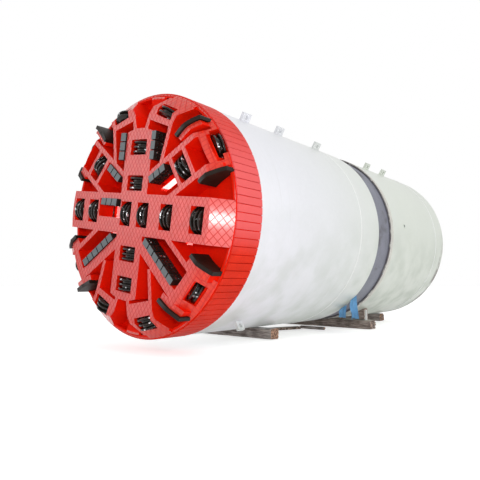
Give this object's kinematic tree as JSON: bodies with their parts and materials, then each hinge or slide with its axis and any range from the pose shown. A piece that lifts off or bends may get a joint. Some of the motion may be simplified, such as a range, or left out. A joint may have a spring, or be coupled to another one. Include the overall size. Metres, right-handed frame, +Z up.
{
  "type": "pipe-jacking tunnel boring machine",
  "caption": "Slurry pipe-jacking tunnel boring machine with a red disc-cutter head, front shield, steering joint and tail shield, lying on timbers.",
  "frame": {"origin": "on the ground below the middle of the machine", "axes": "+Y from the cutterhead to the tail along the machine's axis, +Z up, +X to the right of someone facing the cutterhead"},
  "size_m": [2.9, 6.5574, 3.05],
  "materials": {
    "shield_paint": "semi-gloss off-white paint, lightly soiled",
    "chamber_paint": "white paint",
    "head_paint": "bright red paint",
    "grey_primer": "dark grey primer",
    "cutter_steel": "black coated forged steel, glossy",
    "tool_steel": "grey tool steel",
    "pipe_paint": "grey paint",
    "seal_rubber": "black rubber",
    "timber": "rough weathered sleeper"
  },
  "bodies": {
    "front": {"front_shield": "shield_paint", "crusher_cone": "chamber_paint", "bulkhead": "chamber_paint", "main_drive": "grey_primer", "front_lugs": "shield_paint", "timber_front": "timber"},
    "cutterhead": {"face_plate": "head_paint", "arm_frame": "head_paint", "arm_ribs": "head_paint", "bucket_lips": "cutter_steel", "scoop_plates": "head_paint", "head_rim": "head_paint", "back_plate": "head_paint", "head_hub": "head_paint", "wear_bars": "head_paint", "scraper_teeth": "tool_steel", "cutter_shafts": "tool_steel"},
    "steering_ring": {"steering_ring": "grey_primer", "steering_seals": "seal_rubber"},
    "tail": {"tail_collar": "shield_paint", "tail_shield": "shield_paint", "rear_wall": "chamber_paint", "thrust_ring": "chamber_paint", "slurry_pipes": "pipe_paint", "power_unit": "grey_primer", "tail_lugs": "shield_paint", "tail_timbers": "timber", "chocks": "timber"},
    "cutter_h1": {"disc_cutter_h1": "cutter_steel"},
    "cutter_h2": {"disc_cutter_h2": "cutter_steel"},
    "cutter_h3": {"disc_cutter_h3": "cutter_steel"},
    "cutter_h4": {"disc_cutter_h4": "cutter_steel"},
    "cutter_h5": {"disc_cutter_h5": "cutter_steel"},
    "cutter_h6": {"disc_cutter_h6": "cutter_steel"},
    "cutter_v1": {"disc_cutter_v1": "cutter_steel"},
    "cutter_v2": {"disc_cutter_v2": "cutter_steel"},
    "cutter_v3": {"disc_cutter_v3": "cutter_steel"},
    "cutter_v4": {"disc_cutter_v4": "cutter_steel"},
    "cutter_d1": {"disc_cutter_d1": "cutter_steel"},
    "cutter_d2": {"disc_cutter_d2": "cutter_steel"},
    "cutter_g1": {"disc_cutter_g1": "cutter_steel"},
    "cutter_g2": {"disc_cutter_g2": "cutter_steel"},
    "cutter_g3": {"disc_cutter_g3": "cutter_steel"},
    "cutter_g4": {"disc_cutter_g4": "cutter_steel"},
    "cutter_b1": {"disc_cutter_b1": "cutter_steel"},
    "cutter_b2": {"disc_cutter_b2": "cutter_steel"},
    "cutter_b3": {"disc_cutter_b3": "cutter_steel"},
    "cutter_b4": {"disc_cutter_b4": "cutter_steel"}
  },
  "joints": [
    {"name": "cutterhead_spin", "type": "hinge", "parent": "front", "child": "cutterhead", "pos_m": [0, -3.2415, 1.6], "axis": [0, 1, 0], "continuous": true},
    {"name": "cutter_h1_spin", "type": "hinge", "parent": "cutterhead", "child": "cutter_h1", "pos_m": [-1.08424, -3.1235, 1.76011], "axis": [-0.9893, 0, 0.1461], "continuous": true},
    {"name": "cutter_h2_spin", "type": "hinge", "parent": "cutterhead", "child": "cutter_h2", "pos_m": [-0.77163, -3.1235, 1.71395], "axis": [-0.9893, 0, 0.1461], "continuous": true},
    {"name": "cutter_h3_spin", "type": "hinge", "parent": "cutterhead", "child": "cutter_h3", "pos_m": [-0.11179, -3.1235, 1.61651], "axis": [-0.9893, 0, 0.1461], "continuous": true},
    {"name": "cutter_h4_spin", "type": "hinge", "parent": "cutterhead", "child": "cutter_h4", "pos_m": [0.19489, -3.1235, 1.57122], "axis": [0.9893, 0, -0.1461], "continuous": true},
    {"name": "cutter_h5_spin", "type": "hinge", "parent": "cutterhead", "child": "cutter_h5", "pos_m": [0.5906, -3.1235, 1.51279], "axis": [0.9893, 0, -0.1461], "continuous": true},
    {"name": "cutter_h6_spin", "type": "hinge", "parent": "cutterhead", "child": "cutter_h6", "pos_m": [1.06149, -3.1235, 1.44325], "axis": [0.9893, 0, -0.1461], "continuous": true},
    {"name": "cutter_v1_spin", "type": "hinge", "parent": "cutterhead", "child": "cutter_v1", "pos_m": [0.11395, -3.1235, 2.37163], "axis": [0.1461, 0, 0.9893], "continuous": true},
    {"name": "cutter_v2_spin", "type": "hinge", "parent": "cutterhead", "child": "cutter_v2", "pos_m": [0.05288, -3.1235, 1.95812], "axis": [0.1461, 0, 0.9893], "continuous": true},
    {"name": "cutter_v3_spin", "type": "hinge", "parent": "cutterhead", "child": "cutter_v3", "pos_m": [-0.06778, -3.1235, 1.14098], "axis": [-0.1461, 0, -0.9893], "continuous": true},
    {"name": "cutter_v4_spin", "type": "hinge", "parent": "cutterhead", "child": "cutter_v4", "pos_m": [-0.11964, -3.1235, 0.78979], "axis": [-0.1461, 0, -0.9893], "continuous": true},
    {"name": "cutter_d1_spin", "type": "hinge", "parent": "cutterhead", "child": "cutter_d1", "pos_m": [0.83096, -3.1235, 2.04369], "axis": [0.8821, 0, 0.471], "continuous": true},
    {"name": "cutter_d2_spin", "type": "hinge", "parent": "cutterhead", "child": "cutter_d2", "pos_m": [-0.66726, -3.1235, 2.26493], "axis": [-0.7083, 0, 0.7059], "continuous": true},
    {"name": "cutter_g1_spin", "type": "hinge", "parent": "cutterhead", "child": "cutter_g1", "pos_m": [1.15199, -3.01565, 2.22288], "axis": [0.5654, 0.766, 0.3057], "continuous": true},
    {"name": "cutter_g2_spin", "type": "hinge", "parent": "cutterhead", "child": "cutter_g2", "pos_m": [-0.92279, -3.01565, 2.52926], "axis": [-0.4529, 0.766, 0.4561], "continuous": true},
    {"name": "cutter_g3_spin", "type": "hinge", "parent": "cutterhead", "child": "cutter_g3", "pos_m": [-1.11849, -3.07806, 1.04964], "axis": [-0.6345, 0.7071, -0.3122], "continuous": true},
    {"name": "cutter_g4_spin", "type": "hinge", "parent": "cutterhead", "child": "cutter_g4", "pos_m": [0.91168, -3.07806, 0.74985], "axis": [0.5171, 0.7071, -0.4822], "continuous": true},
    {"name": "cutter_b1_spin", "type": "hinge", "parent": "cutterhead", "child": "cutter_b1", "pos_m": [0.55207, -3.13062, 2.66506], "axis": [0.4324, 0.342, 0.8343], "continuous": true},
    {"name": "cutter_b2_spin", "type": "hinge", "parent": "cutterhead", "child": "cutter_b2", "pos_m": [-0.22068, -3.13062, 2.77917], "axis": [-0.1729, 0.342, 0.9237], "continuous": true},
    {"name": "cutter_b3_spin", "type": "hinge", "parent": "cutterhead", "child": "cutter_b3", "pos_m": [-0.54477, -3.12379, 0.54903], "axis": [-0.4591, 0.0698, -0.8857], "continuous": true},
    {"name": "cutter_b4_spin", "type": "hinge", "parent": "cutterhead", "child": "cutter_b4", "pos_m": [0.22656, -3.10862, 0.38938], "axis": [0.1729, 0.342, -0.9237], "continuous": true},
    {"name": "steer_yaw", "type": "hinge", "parent": "front", "child": "steering_ring", "pos_m": [0, 0.2105, 1.6], "axis": [0, 0, 1], "range_deg": [-2.5, 2.5]},
    {"name": "steer_pitch", "type": "hinge", "parent": "steering_ring", "child": "tail", "pos_m": [0, 0.8235, 1.6], "axis": [1, 0, 0], "range_deg": [-2.5, 2.5]}
  ]
}
